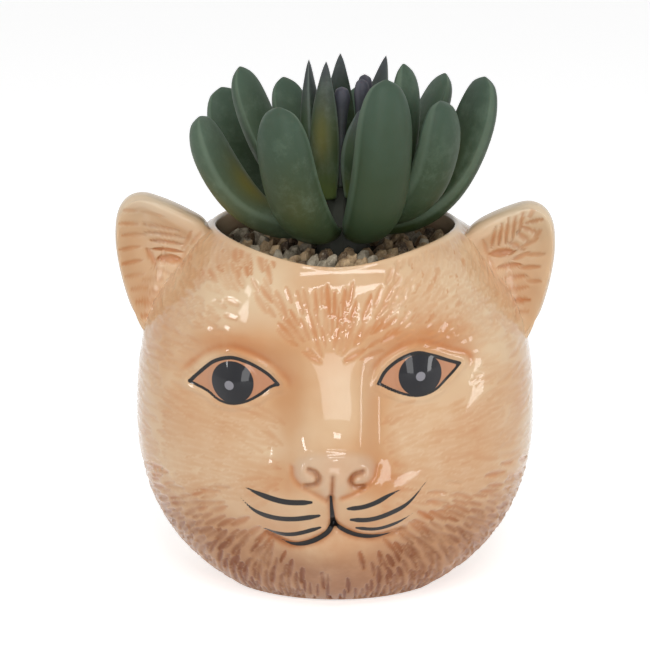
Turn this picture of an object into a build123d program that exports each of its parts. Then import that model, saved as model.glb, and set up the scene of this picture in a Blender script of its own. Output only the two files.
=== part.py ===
from build123d import *
from math import asin, atan2, cos, degrees, exp, hypot, pi, radians, sin
from random import Random
import os

# A cat's head planter with an artificial succulent, in millimetres.
# The head looks along -Y, Z is up from the flat foot, and +X is the cat's left.

# The plain round form of the head, before its face is raised on it. It is cut flat above its lower pole
# for the foot, and below its upper pole inside the mouth.
HEAD_HALF_WIDTH = 46.0
HEAD_FRONT_DEPTH = 39.0
HEAD_BACK_DEPTH = 41.0
HEAD_MIDDLE_Y = 3.5
CHEEK_HEIGHT = 37.0
ABOVE_CHEEK = 51.0
FOOT_CUT = 6.0
CROWN_CUT = 3.0
BELOW_CHEEK = CHEEK_HEIGHT + FOOT_CUT
HEAD_TOP = CHEEK_HEIGHT + ABOVE_CHEEK - CROWN_CUT
SQUARENESS = 2.25
LOWER_FULLNESS = 2.4
UPPER_FULLNESS = 2.75

# The casting: wall, floor, the recess under the foot and the round mouth for the plant
WALL = 3.6
FLOOR_THICKNESS = 5.0
FOOT_RECESS_RADIUS = 20.0
FOOT_RECESS_Y = 2.0
FOOT_RECESS_DEPTH = 1.2
MOUTH_RADIUS = 27.6
MOUTH_Y = 2.2

# The relief of the face
FACE_WIDTH = 2 * HEAD_HALF_WIDTH
FACE_HEIGHT = HEAD_TOP
FACE_RISE = 10.0

# The ears, cupped to the front
EAR_SIZE = 16.0
EAR_INSET = 7.0
EAR_DROP = 11.0
EAR_X = HEAD_HALF_WIDTH - EAR_INSET
EAR_Z = HEAD_TOP - EAR_DROP
EAR_LIFT = 0.8
EAR_FRONT_Y = -5.0
EAR_DEPTH = 14.0
EAR_CUP_DEPTH = 5.0

# The foam plug and the stones glued to it
FOAM_DROP = 9.5
FOAM_TOP = HEAD_TOP - FOAM_DROP
FOAM_FOOT_RADIUS = 18.0
FOAM_SHOULDER = 32.0
FOAM_CLEARANCE = 0.25
STONE_PITCH = 4.4
STONE_HEIGHT = 3.6
STONE_CLEARANCE = 0.15

# The core that carries the leaves
ROSETTE_X = 2.0
ROSETTE_Y = 1.0
CORE_RADIUS = 6.5
CORE_TOP_RADIUS = 3.6
CORE_HEIGHT = 17.0
SPIKE_RADIUS = 2.5
SPIKE_LENGTH = 22.0
SPIKE_CLEARANCE = 0.1
PEG_RADIUS = 0.8
PEG_LENGTH = 1.6
PEG_CLEARANCE = 0.1
LEAF_GAP = 0.2

# The leaves by tier: full width and thickness
OUTER_WIDTH, OUTER_THICKNESS = 13.6, 8.6
MIDDLE_WIDTH, MIDDLE_THICKNESS = 10.4, 7.0
INNER_WIDTH, INNER_THICKNESS = 7.6, 5.2
HEART_WIDTH, HEART_THICKNESS = 3.6, 3.5
LEAF_REACH = 34.0
LEAF_RISE = 42.0

# Relief of the face: across and up the face, rise, spread across and spread up, as shares of its sizes
FACE_RELIEF_SHARES = [
    (0.006, 0.590, 0.34, 0.072, 0.110),
    (0.006, 0.440, 0.48, 0.072, 0.060),
    (-0.100, 0.330, 0.58, 0.090, 0.082),
    (0.100, 0.330, 0.58, 0.090, 0.082),
    (0.000, 0.175, 0.42, 0.095, 0.060),
    (0.000, 0.010, 0.55, 0.260, 0.110),
    (-0.225, 0.622, -0.26, 0.095, 0.065),
    (0.215, 0.640, -0.26, 0.095, 0.065),
    (-0.237, 0.626, 0.15, 0.044, 0.040),
    (0.209, 0.648, 0.15, 0.044, 0.040),
    (-0.200, 0.745, 0.18, 0.110, 0.040),
    (0.200, 0.760, 0.18, 0.110, 0.040),
]

# Where the face ends at the sides, and how far the corners crowd towards the nose
FACE_EDGE_SHARE = 0.67
CROWDING_SHARE = 0.28

# Ear outline from the front, across and up from its middle, as shares of the ear's size
EAR_OUTLINE_SHARES = [
    (0.38, -1.12), (0.50, -0.80), (0.61, -0.45), (0.69, -0.10), (0.73, 0.25), (0.71, 0.58), (0.63, 0.79),
    (0.50, 0.91), (0.32, 0.95), (0.10, 0.89), (-0.15, 0.79), (-0.41, 0.66), (-0.66, 0.52), (-0.82, 0.22),
    (-0.82, -0.30), (-0.62, -0.80), (-0.30, -1.24), (0.00, -1.50), (0.24, -1.42),
]

# The cup in the front of an ear, which runs back to the head, in the same shares
EAR_CUP_SHARES = [
    (0.32, -0.92), (0.48, -0.42), (0.57, -0.05), (0.61, 0.28), (0.58, 0.56), (0.48, 0.72), (0.31, 0.76),
    (0.06, 0.63), (-0.20, 0.48), (-0.42, 0.32), (-0.46, 0.10), (-0.34, -0.30), (-0.04, -0.84),
]

# Slices through an ear and its cup: place from front to back, size of the outline about the root
EAR_ROOT_SHARES = (-0.50, -0.35)
CUP_MIDDLE_SHARES = (0.05, 0.10)
EAR_SLICE_SHARES = [(0.0, 0.94), (0.13, 0.99), (0.32, 1.0), (0.52, 0.93), (0.76, 0.74), (1.0, 0.46)]
CUP_SLICE_SHARES = [(0.0, 1.0), (0.50, 0.76), (1.0, 0.36)]

# A pebble's rings: height and width as shares of its own
STONE_RING_SHARES = [(0.0, 0.72), (0.38, 1.0), (1.0, 0.48)]
STONE_COLOUR_SHARES = (0.5, 0.25, 0.25)
STONE_LEAST_HEIGHT_SHARE = 0.75
STONE_LEAST_REACH_SHARE = 0.78
STONE_LEAN_SHARE = 0.15

# Leaf sections along its length: place, and size as a share of the full section
BROAD_LEAF_SHARES = [
    (0.0, 0.36), (0.12, 0.58), (0.28, 0.86), (0.48, 1.0), (0.68, 0.98), (0.86, 0.84), (0.96, 0.52),
    (1.0, 0.18),
]
BLUNT_LEAF_SHARES = [
    (0.0, 0.42), (0.14, 0.66), (0.30, 0.88), (0.50, 1.0), (0.70, 0.98), (0.86, 0.84), (0.96, 0.52),
    (1.0, 0.18),
]
POINTED_LEAF_SHARES = [
    (0.0, 0.55), (0.16, 0.74), (0.36, 0.95), (0.56, 1.0), (0.76, 0.78), (0.92, 0.36), (1.0, 0.05),
]

# The point that a leaf sets out towards, by tier, and that its middle line turns from to reach its tip:
# its reach from the rosette's middle and its rise above the leaf's seat
OUTER_SWEEP_SHARES = (0.76, 0.02)
MIDDLE_SWEEP_SHARES = (0.46, 0.06)
INNER_SWEEP_SHARES = (0.22, 0.21)
HEART_SWEEP_SHARES = (0.12, 0.27)

# The boat-shaped section of a leaf: across and out, as shares of half its width and of its thickness
LEAF_SECTION_SHARES = [
    (-1.0, -0.08), (-0.66, 0.32), (0.0, 0.55), (0.66, 0.32), (1.0, -0.08), (0.55, -0.26), (0.0, -0.32),
    (-0.55, -0.26),
]

# Each leaf: direction round the rosette in degrees, seat up the core from the stones' tops to the core's top,
# reach of its tip from the rosette's middle, and rise of its tip above the foam
OUTER_LEAF_SHARES = [
    (5, 0.21, 0.95, 0.97), (52, 0.21, 0.79, 0.68), (100, 0.21, 0.79, 0.66), (148, 0.21, 1.02, 0.86),
    (197, 0.21, 0.99, 0.79), (244, 0.21, 0.91, 0.90), (292, 0.21, 0.74, 1.03), (328, 0.50, 0.75, 0.89),
]
MIDDLE_LEAF_SHARES = [
    (28, 0.62, 0.78, 0.96), (77, 0.62, 0.56, 0.88), (125, 0.62, 0.76, 0.91), (173, 0.62, 0.71, 1.02),
    (340, 0.70, 0.42, 1.06),
]
INNER_LEAF_SHARES = [
    (162, 0.80, 0.25, 1.06), (230, 0.76, 0.18, 1.07), (296, 0.78, 0.25, 0.82), (103, 0.84, 0.12, 1.09),
    (49, 0.80, 0.43, 1.06),
]
HEART_LEAF_SHARES = [(262, 0.94, 0.09, 0.93), (332, 0.92, 0.13, 0.97), (30, 0.96, 0.16, 0.98)]

# How finely the forms are divided
FRONT_CORNERS = 34
BACK_CORNERS = 12
HEAD_LEVELS = 28
CAVITY_CORNERS = 20
CAVITY_LEVELS = 12
FOAM_SIDES = 32
CORE_SIDES = 12
PEG_SIDES = 6
STONE_SIDES = 5


def fullness_at(height, spare):
    """How full the head is at a height: 1 at the cheeks, 0 at its poles, which an inset draws in."""
    if height < CHEEK_HEIGHT:
        reach, fullness = BELOW_CHEEK - spare, LOWER_FULLNESS
    else:
        reach, fullness = ABOVE_CHEEK - spare, UPPER_FULLNESS
    fall = min(abs(height - CHEEK_HEIGHT) / reach, 1.0) ** fullness
    return (1.0 - fall) ** (1.0 / fullness)


def plain_point(angle, height, inset=0):
    """A point of the plain round form at an angle and a height, moved in by the inset."""
    width = HEAD_HALF_WIDTH - inset
    depth = (HEAD_FRONT_DEPTH if sin(angle) < 0 else HEAD_BACK_DEPTH) - inset
    pull = (abs(cos(angle)) / width) ** SQUARENESS + (abs(sin(angle)) / depth) ** SQUARENESS
    radius = fullness_at(height, inset) / pull ** (1.0 / SQUARENESS)
    return radius * cos(angle), HEAD_MIDDLE_Y + radius * sin(angle)


def face_relief(x, height):
    """How far the face stands forward of the plain form: a sum of rounded mounds and hollows."""
    total = 0
    for across, up, rise, spread_across, spread_up in FACE_RELIEF_SHARES:
        aside = (x / FACE_WIDTH - across) / spread_across
        above = (height / FACE_HEIGHT - up) / spread_up
        total += rise * FACE_RISE * exp(-(aside**2 + above**2) / 2)
    return total


def head_section(height):
    """The ring of corners round the head at one height, closest together over the nose."""
    corners = []
    for step in range(FRONT_CORNERS):
        turn = 2 * step / FRONT_CORNERS - 1
        turn += CROWDING_SHARE * (turn**3 - turn)
        angle = (3 + turn) * pi / 2
        x, y = plain_point(angle, height)
        facing = min(1.0, -sin(angle) / FACE_EDGE_SHARE) ** 2
        corners.append((x, y - facing * face_relief(x, height), height))
    for step in range(BACK_CORNERS):
        corners.append((*plain_point(pi * step / BACK_CORNERS, height), height))
    return corners


def cavity_section(height):
    """The ring of corners round the inside of the wall at one height."""
    turns = [2 * pi * step / CAVITY_CORNERS for step in range(CAVITY_CORNERS)]
    return [(*plain_point(turn, height, WALL), height) for turn in turns]


def steps(first, last, count):
    """Evenly spaced values from first to last."""
    return [first + (last - first) * step / count for step in range(count + 1)]


def faceted(rings):
    """A closed solid of flat facets between one ring of corners and the next, with flat ends."""
    faces = [Face(Wire.make_polygon(rings[0])), Face(Wire.make_polygon(rings[-1]))]
    for lower, upper in zip(rings, rings[1:]):
        for corner in range(len(lower)):
            near, far = lower[corner - 1], lower[corner]
            far_above, near_above = upper[corner], upper[corner - 1]
            faces.append(Face(Wire.make_polygon([near, far, far_above])))
            faces.append(Face(Wire.make_polygon([near, far_above, near_above])))
    return Solid(Shell(faces))


def ear_rings(side, depth, slice_shares, outline_shares, middle_shares):
    """The upright rings through one side's ear or its cup, each drawn in about a middle point."""
    rings = []
    for place_share, size_share in slice_shares:
        ring = []
        for across_share, up_share in outline_shares:
            across = middle_shares[0] + size_share * (across_share - middle_shares[0])
            up = middle_shares[1] + size_share * (up_share - middle_shares[1])
            x = side * (EAR_X + across * EAR_SIZE)
            z = EAR_Z - side * EAR_LIFT + up * EAR_SIZE
            ring.append((x, EAR_FRONT_Y + place_share * depth, z))
        rings.append(ring)
    return rings


# The pot: one slip-cast shell with its cupped ears, cut for the cavity, the mouth and the recess under the foot
with BuildPart() as pot_shell:
    for side in (-1, 1):
        add(faceted(ear_rings(side, EAR_DEPTH, EAR_SLICE_SHARES, EAR_OUTLINE_SHARES, EAR_ROOT_SHARES)))
        cup = ear_rings(side, EAR_CUP_DEPTH, CUP_SLICE_SHARES, EAR_CUP_SHARES, CUP_MIDDLE_SHARES)
        add(faceted(cup), mode=Mode.SUBTRACT)
    add(faceted([head_section(height) for height in steps(0, HEAD_TOP, HEAD_LEVELS)]))
    cavity_heights = steps(FLOOR_THICKNESS, HEAD_TOP - WALL, CAVITY_LEVELS)
    add(faceted([cavity_section(height) for height in cavity_heights]), mode=Mode.SUBTRACT)
    with BuildSketch(Plane.XY.offset(CHEEK_HEIGHT)):
        with Locations((0, MOUTH_Y)):
            Circle(MOUTH_RADIUS)
    extrude(amount=HEAD_TOP, mode=Mode.SUBTRACT)
    with BuildSketch(Plane.XY):
        with Locations((0, FOOT_RECESS_Y)):
            Circle(FOOT_RECESS_RADIUS)
    extrude(amount=FOOT_RECESS_DEPTH, mode=Mode.SUBTRACT)

# The foam plug: its shoulder passes the mouth with a clearance, and its tapered foot stands on the floor
FOAM_RADIUS = MOUTH_RADIUS - FOAM_CLEARANCE
with BuildPart() as foam_plug:
    with BuildSketch(Plane.XY.offset(FOAM_SHOULDER)):
        with Locations((0, MOUTH_Y)):
            RegularPolygon(FOAM_RADIUS, FOAM_SIDES)
    extrude(amount=FOAM_TOP - FOAM_SHOULDER)
    with BuildSketch(Plane.XY.offset(FOAM_SHOULDER)):
        with Locations((0, MOUTH_Y)):
            RegularPolygon(FOAM_RADIUS, FOAM_SIDES)
    foot_taper = degrees(atan2(FOAM_RADIUS - FOAM_FOOT_RADIUS, FOAM_SHOULDER - FLOOR_THICKNESS))
    extrude(amount=FLOOR_THICKNESS - FOAM_SHOULDER, taper=foot_taper)
    with BuildSketch(Plane.XY.offset(FOAM_TOP)):
        with Locations((ROSETTE_X, ROSETTE_Y)):
            Circle(SPIKE_RADIUS + SPIKE_CLEARANCE)
    extrude(amount=-(SPIKE_LENGTH + SPIKE_CLEARANCE), mode=Mode.SUBTRACT)


def stone_rings(x, y, size, height, dice):
    """A pebble with a flat seat on the foam: three rings of uneven corners, widest below the middle."""
    turn = dice.uniform(0, 2 * pi)
    reaches = [size * dice.uniform(STONE_LEAST_REACH_SHARE, 1.0) for corner in range(STONE_SIDES)]
    lean_x = size * dice.uniform(-STONE_LEAN_SHARE, STONE_LEAN_SHARE)
    lean_y = size * dice.uniform(-STONE_LEAN_SHARE, STONE_LEAN_SHARE)
    rings = []
    for level_share, width_share in STONE_RING_SHARES:
        ring = []
        for corner, reach in enumerate(reaches):
            angle = turn + 2 * pi * corner / STONE_SIDES
            middle_x = x + lean_x * level_share * (1 - width_share)
            middle_y = y + lean_y * level_share * (1 - width_share)
            ring_x = middle_x + reach * width_share * cos(angle)
            ring_y = middle_y + reach * width_share * sin(angle)
            ring.append((ring_x, ring_y, FOAM_TOP + level_share * height))
        rings.append(ring)
    return rings


def stone_places():
    """Where the stones lie: rings about the mouth, a pitch apart, clear of the core."""
    places = []
    ring_radius = FOAM_RADIUS - STONE_PITCH / 2
    while ring_radius > STONE_PITCH:
        count = int(pi / asin(STONE_PITCH / 2 / ring_radius))
        for stone in range(count):
            angle = 2 * pi * (stone + ring_radius / STONE_PITCH) / count
            x, y = ring_radius * cos(angle), MOUTH_Y + ring_radius * sin(angle)
            if hypot(x - ROSETTE_X, y - ROSETTE_Y) > CORE_RADIUS + STONE_PITCH / 2:
                places.append((x, y))
        ring_radius -= STONE_PITCH
    return places


# The stones, glued to the foam in three colours
stone_dice = Random(3)
stones = {"gravel_tan": [], "gravel_grey": [], "gravel_brown": []}
for x, y in stone_places():
    colour = stone_dice.choices(list(stones), STONE_COLOUR_SHARES)[0]
    size = STONE_PITCH / 2 - STONE_CLEARANCE / 2
    height = STONE_HEIGHT * stone_dice.uniform(STONE_LEAST_HEIGHT_SHARE, 1.0)
    stones[colour].append(faceted(stone_rings(x, y, size, height, stone_dice)))


def core_radius_at(height):
    """The radius of the core's cone at a height above the foam."""
    return CORE_RADIUS + height / CORE_HEIGHT * (CORE_TOP_RADIUS - CORE_RADIUS)


class Leaf:
    """One leaf: its peg's mouth in the core, and the root, sweep point and tip of its curved middle line."""

    def __init__(self, place, width, thickness, sweep_shares, station_shares):
        azimuth, seat_share, reach_share, rise_share = place
        self.width = width
        self.thickness = thickness
        self.station_shares = station_shares
        self.outward = Vector(cos(radians(azimuth)), sin(radians(azimuth)), 0)
        self.across = Vector(0, 0, 1).cross(self.outward)
        seat = STONE_HEIGHT + seat_share * (CORE_HEIGHT - STONE_HEIGHT)
        self.mouth = self.at(core_radius_at(seat), seat)
        self.sweep = self.at(sweep_shares[0] * LEAF_REACH, seat + sweep_shares[1] * LEAF_RISE)
        self.tip = self.at(reach_share * LEAF_REACH, rise_share * LEAF_RISE)
        lean = max((self.sweep - self.mouth).normalized().Z, 0)
        inner_share = -min(out_share for across_share, out_share in LEAF_SECTION_SHARES)
        root_thickness = inner_share * station_shares[0][1] * thickness
        self.root = self.mouth + self.outward * (LEAF_GAP + lean * root_thickness)

    def at(self, reach, rise):
        """A point in the leaf's upright plane, by its reach from the rosette's middle and rise above the foam."""
        return Vector(ROSETTE_X, ROSETTE_Y, FOAM_TOP + rise) + self.outward * reach

    def rings(self):
        """The boat-shaped rings of corners, square to the parabola from root to tip by way of the sweep point."""
        rings = []
        for place_share, size_share in self.station_shares:
            left_share = 1 - place_share
            middle = self.root * left_share**2 + self.tip * place_share**2
            middle += self.sweep * (2 * left_share * place_share)
            along = (self.sweep - self.root) * left_share + (self.tip - self.sweep) * place_share
            out_direction = self.across.cross(along.normalized())
            ring = []
            for across_share, out_share in LEAF_SECTION_SHARES:
                across = across_share * size_share * self.width / 2
                out = out_share * size_share * self.thickness
                ring.append(middle + self.across * across + out_direction * out)
            rings.append(ring)
        return rings

    def peg(self, radius, tip_clearance):
        """The six-sided peg, or with a tip clearance its socket, along a level line from leaf to core."""
        start = self.root + (self.sweep - self.root).normalized() * PEG_RADIUS
        reach = (start - self.mouth).dot(self.outward) + PEG_LENGTH + tip_clearance
        with BuildPart() as peg:
            with BuildSketch(Plane(start, x_dir=self.across, z_dir=-self.outward)):
                RegularPolygon(radius, PEG_SIDES)
            extrude(amount=reach)
        return peg.part


OUTER_TIER = (OUTER_WIDTH, OUTER_THICKNESS, OUTER_SWEEP_SHARES, BROAD_LEAF_SHARES)
MIDDLE_TIER = (MIDDLE_WIDTH, MIDDLE_THICKNESS, MIDDLE_SWEEP_SHARES, BLUNT_LEAF_SHARES)
INNER_TIER = (INNER_WIDTH, INNER_THICKNESS, INNER_SWEEP_SHARES, POINTED_LEAF_SHARES)
HEART_TIER = (HEART_WIDTH, HEART_THICKNESS, HEART_SWEEP_SHARES, BLUNT_LEAF_SHARES)
LEAF_TIERS = {
    "leaf_outer": (OUTER_LEAF_SHARES, OUTER_TIER),
    "leaf_middle": (MIDDLE_LEAF_SHARES, MIDDLE_TIER),
    "leaf_inner": (INNER_LEAF_SHARES, INNER_TIER),
    "leaf_heart": (HEART_LEAF_SHARES, HEART_TIER),
}

leaf_parts = {}
sockets = []
for tier, (places, form) in LEAF_TIERS.items():
    for number, place in enumerate(places, 1):
        leaf = Leaf(place, *form)
        with BuildPart() as leaf_part:
            add(faceted(leaf.rings()))
            add(leaf.peg(PEG_RADIUS, 0))
        leaf_parts[f"{tier}_{number}"] = leaf_part
        sockets.append(leaf.peg(PEG_RADIUS + PEG_CLEARANCE, PEG_CLEARANCE))

# The core: a tapered stub with a socket for every leaf, on a spike in the foam
with BuildPart() as stem_core:
    with BuildSketch(Plane.XY.offset(FOAM_TOP)):
        with Locations((ROSETTE_X, ROSETTE_Y)):
            RegularPolygon(CORE_RADIUS, CORE_SIDES)
    extrude(amount=CORE_HEIGHT, taper=degrees(atan2(CORE_RADIUS - CORE_TOP_RADIUS, CORE_HEIGHT)))
    with BuildSketch(Plane.XY.offset(FOAM_TOP)):
        with Locations((ROSETTE_X, ROSETTE_Y)):
            Circle(SPIKE_RADIUS)
    extrude(amount=-SPIKE_LENGTH)
    add(sockets, mode=Mode.SUBTRACT)

pieces = {"pot_shell": pot_shell, "foam_plug": foam_plug, "stem_core": stem_core, **leaf_parts}
for colour, solids in stones.items():
    with BuildPart() as gravel:
        add(solids)
    pieces[colour] = gravel

os.makedirs("parts", exist_ok=True)
for name, piece in pieces.items():
    piece.part.label = name
    export_step(piece.part, f"parts/{name}.step")
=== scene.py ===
from math import atan2, cos, pi, radians, sin, sqrt
from random import Random

import bpy
import numpy as np
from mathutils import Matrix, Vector


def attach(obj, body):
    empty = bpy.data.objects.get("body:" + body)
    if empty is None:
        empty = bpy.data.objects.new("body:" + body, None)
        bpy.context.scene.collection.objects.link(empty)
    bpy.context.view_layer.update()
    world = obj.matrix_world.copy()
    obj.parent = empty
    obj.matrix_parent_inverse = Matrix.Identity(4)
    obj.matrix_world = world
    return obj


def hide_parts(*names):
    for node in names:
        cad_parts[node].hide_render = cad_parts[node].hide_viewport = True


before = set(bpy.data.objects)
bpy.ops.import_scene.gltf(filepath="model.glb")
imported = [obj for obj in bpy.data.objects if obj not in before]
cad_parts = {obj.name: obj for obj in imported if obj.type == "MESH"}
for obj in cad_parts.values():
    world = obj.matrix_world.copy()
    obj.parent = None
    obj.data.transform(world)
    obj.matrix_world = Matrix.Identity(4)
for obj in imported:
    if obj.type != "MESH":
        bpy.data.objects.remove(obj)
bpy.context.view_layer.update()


# The pot. One slip-cast earthenware shell in the form of a cat's head, open at the crown, its cupped ears in
# the same casting. The fur is gouged into the soft clay and washed with orange-brown stain, the eyes, mouth
# and whiskers are painted, and a clear glaze covers all.
HEAD_HALF_WIDTH = 46.0
HEAD_FRONT_DEPTH = 39.0
HEAD_BACK_DEPTH = 41.0
HEAD_MIDDLE_Y = 3.5
CHEEK_HEIGHT = 37.0
BELOW_CHEEK = 43.0
ABOVE_CHEEK = 51.0
HEAD_TOP = 85.0
SQUARENESS = 2.25
LOWER_FULLNESS = 2.4
UPPER_FULLNESS = 2.75
WALL = 3.6
FLOOR_THICKNESS = 5.0
FOOT_RECESS_RADIUS = 20.0
FOOT_RECESS_Y = 2.0
FOOT_RECESS_DEPTH = 1.2
MOUTH_RADIUS = 27.6
MOUTH_Y = 2.2
THROAT_DEPTH = 5.5
LIP_ROUND = 2.0
LIP_RISE = 0.4
BELOW_LIP = 1.0
FRONT_COLUMNS = 300
BACK_COLUMNS = 76
OUTER_ROWS = 214


def head_fullness(z, inset=0.0):
    """How full the head is at a height: the root of one minus a power of the way's share to the pole."""
    low = z < CHEEK_HEIGHT
    reach = np.where(low, BELOW_CHEEK - inset, ABOVE_CHEEK - inset)
    power = np.where(low, LOWER_FULLNESS, UPPER_FULLNESS)
    fall = np.minimum(np.abs(z - CHEEK_HEIGHT) / reach, 1.0) ** power
    return (1.0 - fall) ** (1.0 / power)


def head_point(angle, z, inset=0.0):
    """The round form of the head: at each height a superellipse, wider than deep, sized by the fullness."""
    width = HEAD_HALF_WIDTH - inset
    depth = np.where(np.sin(angle) < 0, HEAD_FRONT_DEPTH, HEAD_BACK_DEPTH) - inset
    pull = (np.abs(np.cos(angle)) / width) ** SQUARENESS + (np.abs(np.sin(angle)) / depth) ** SQUARENESS
    radius = head_fullness(z, inset) / pull ** (1.0 / SQUARENESS)
    return np.stack([radius * np.cos(angle), HEAD_MIDDLE_Y + radius * np.sin(angle), z + 0 * radius], axis=-1)


def bump(x, z, across, up, spread_across, spread_up):
    """A rounded mound of height 1: the exponential of minus half the squared distance in spreads."""
    return np.exp(-(((x - across) / spread_across) ** 2 + ((z - up) / spread_up) ** 2) / 2)


# Angles round the head, closest together over the face
front_turns = np.linspace(-1, 1, FRONT_COLUMNS, endpoint=False)
front_turns = 1.5 * pi + (0.86 * front_turns + 0.14 * front_turns**3) * 0.62 * pi
back_turns = np.linspace(front_turns[-1], front_turns[0] + 2 * pi, BACK_COLUMNS + 2)[1:-1]
turns = np.concatenate([front_turns, back_turns])

# The height of the rim in each column, where the round form meets the upright wall of the mouth
rim_low, rim_high = np.full_like(turns, CHEEK_HEIGHT), np.full_like(turns, HEAD_TOP - 0.5)
for halving in range(30):
    rim_middle = (rim_low + rim_high) / 2
    at_rim = head_point(turns, rim_middle)
    outside = np.hypot(at_rim[:, 0], at_rim[:, 1] - MOUTH_Y) > MOUTH_RADIUS
    rim_low = np.where(outside, rim_middle, rim_low)
    rim_high = np.where(outside, rim_high, rim_middle)
rim = rim_low

# Outer wall: rows from the foot to just below the lip, evenly spaced down the front
wall_top = rim - BELOW_LIP
front_line = np.linspace(0, 1, 400)
front_points = head_point(np.full_like(front_line, 1.5 * pi), front_line * wall_top[FRONT_COLUMNS // 2])
front_steps = np.linalg.norm(np.diff(front_points, axis=0), axis=1)
front_run = np.concatenate([[0], np.cumsum(front_steps)])
row_shares = np.interp(np.linspace(0, front_run[-1], OUTER_ROWS), front_run, front_line)
outer = head_point(turns[None, :], row_shares[:, None] * wall_top[None, :])


def rounded(start, corner, end, count):
    """A round corner: the parabola that leaves start towards the corner and arrives at end from it."""
    share = np.linspace(0, 1, count)[1:-1, None, None]
    return (1 - share) ** 2 * start + 2 * share * (1 - share) * corner + share**2 * end


def ring(radius, z, middle_y):
    """A level ring of points about an upright axis."""
    x, y = radius * np.cos(turns), middle_y + radius * np.sin(turns)
    return np.stack([x, y, z + 0 * turns], axis=-1)


# Lip, throat, cavity and foot, each a short run of rows
at_rim = head_point(turns, rim)
mouth_turn = np.arctan2(at_rim[:, 1] - MOUTH_Y, at_rim[:, 0])
mouth_x, mouth_y = MOUTH_RADIUS * np.cos(mouth_turn), MOUTH_Y + MOUTH_RADIUS * np.sin(mouth_turn)
lip_corner = np.stack([mouth_x, mouth_y, rim + LIP_RISE], axis=-1)
throat = lip_corner - np.array([0, 0, LIP_ROUND])
lip = rounded(outer[-1], lip_corner, throat, 11)
throat_foot = lip_corner - np.array([0, 0, THROAT_DEPTH])
cavity_run = np.linspace(0, 1, 16)[:, None]
cavity_z = (HEAD_TOP - WALL - 12.0) * (1 - cavity_run) + FLOOR_THICKNESS * cavity_run
cavity = head_point(turns[None, :], np.minimum(cavity_z, rim[None, :] - 7.0), WALL)
floor_middle = np.array([0, HEAD_MIDDLE_Y, FLOOR_THICKNESS])
floor = floor_middle + (cavity[-1] - floor_middle) * np.linspace(0.9, 0.02, 5)[:, None, None]
foot_edge = outer[0]
foot_inside = ring(FOOT_RECESS_RADIUS, 0.0, FOOT_RECESS_Y)
foot_rows = rounded(foot_inside + (foot_edge - foot_inside) * 0.72, foot_edge, outer[3], 7)
recess_wall = ring(FOOT_RECESS_RADIUS - 0.5, FOOT_RECESS_DEPTH, FOOT_RECESS_Y)
recess = ring(1.0, FOOT_RECESS_DEPTH, FOOT_RECESS_Y)
recess_rows = recess + (recess_wall - recess) * np.linspace(0, 1, 5)[:, None, None]
foot = np.concatenate([recess_rows, foot_inside[None], foot_rows])
inner = np.concatenate([lip, throat[None], throat_foot[None], cavity, floor])
first_outer = len(foot)
head = np.concatenate([foot, outer[3:], inner])
on_outside = np.zeros(head.shape[:2])
on_outside[first_outer - 3 : first_outer + len(outer) + 2] = 1.0


def grid_normals(points):
    """The outward normals of a grid whose columns run round: the cross product of its two directions."""
    across = np.roll(points, -1, axis=1) - np.roll(points, 1, axis=1)
    up = np.gradient(points, axis=0)
    normal = np.cross(across, up)
    return normal / np.maximum(np.linalg.norm(normal, axis=-1, keepdims=True), 1e-9)


def smooth_step(value, low, high):
    """0 below low, 1 above high, and an S-shaped rise between them."""
    share = np.clip((value - low) / (high - low), 0, 1)
    return share * share * (3 - 2 * share)


def ridge(value, middle, spread):
    """A rounded ridge of height 1: the exponential of minus the squared distance in spreads."""
    return np.exp(-(((value - middle) / spread) ** 2))


def curve_through(points, count):
    """A smooth line through given points: each run is the Catmull-Rom cubic of its four nearest points."""
    points = np.array(points, float)
    ends = np.concatenate([[2 * points[0] - points[1]], points, [2 * points[-1] - points[-2]]])
    place = np.linspace(0, len(points) - 1, count)
    run = np.minimum(place.astype(int), len(points) - 2)
    t = (place - run)[:, None]
    before, first, second, after = (ends[run + step] for step in range(4))
    bend = 2 * before - 5 * first + 4 * second - after
    return first + 0.5 * t * (second - before + t * (bend + t * (3 * (first - second) + after - before)))


def from_line(x, z, line):
    """The distance of each point from a line of short runs, and how far along it the nearest place is."""
    nearest = np.full(x.shape, 1e9)
    along = np.zeros(x.shape)
    run = np.linspace(0, 1, len(line))
    for step in range(len(line) - 1):
        start, direction = line[step], line[step + 1] - line[step]
        share = ((x - start[0]) * direction[0] + (z - start[1]) * direction[1]) / (direction @ direction)
        share = np.clip(share, 0, 1)
        away = np.hypot(x - start[0] - share * direction[0], z - start[1] - share * direction[1])
        closer = away < nearest
        nearest = np.where(closer, away, nearest)
        along = np.where(closer, run[step] + share * (run[step + 1] - run[step]), along)
    return nearest, along


def within(x, z, loop):
    """How far inside a closed line each point is, below 0 outside: there a level ray has even crossings."""
    closed = np.concatenate([loop, loop[:1]])
    away, along = from_line(x, z, closed)
    crossings = np.zeros(x.shape, int)
    for start, end in zip(closed, closed[1:]):
        if start[1] != end[1]:
            crosses = (z >= min(start[1], end[1])) & (z < max(start[1], end[1]))
            at = start[0] + (z - start[1]) / (end[1] - start[1]) * (end[0] - start[0])
            crossings += crosses & (at > x)
    return np.where(crossings % 2 == 1, away, -away)


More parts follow.
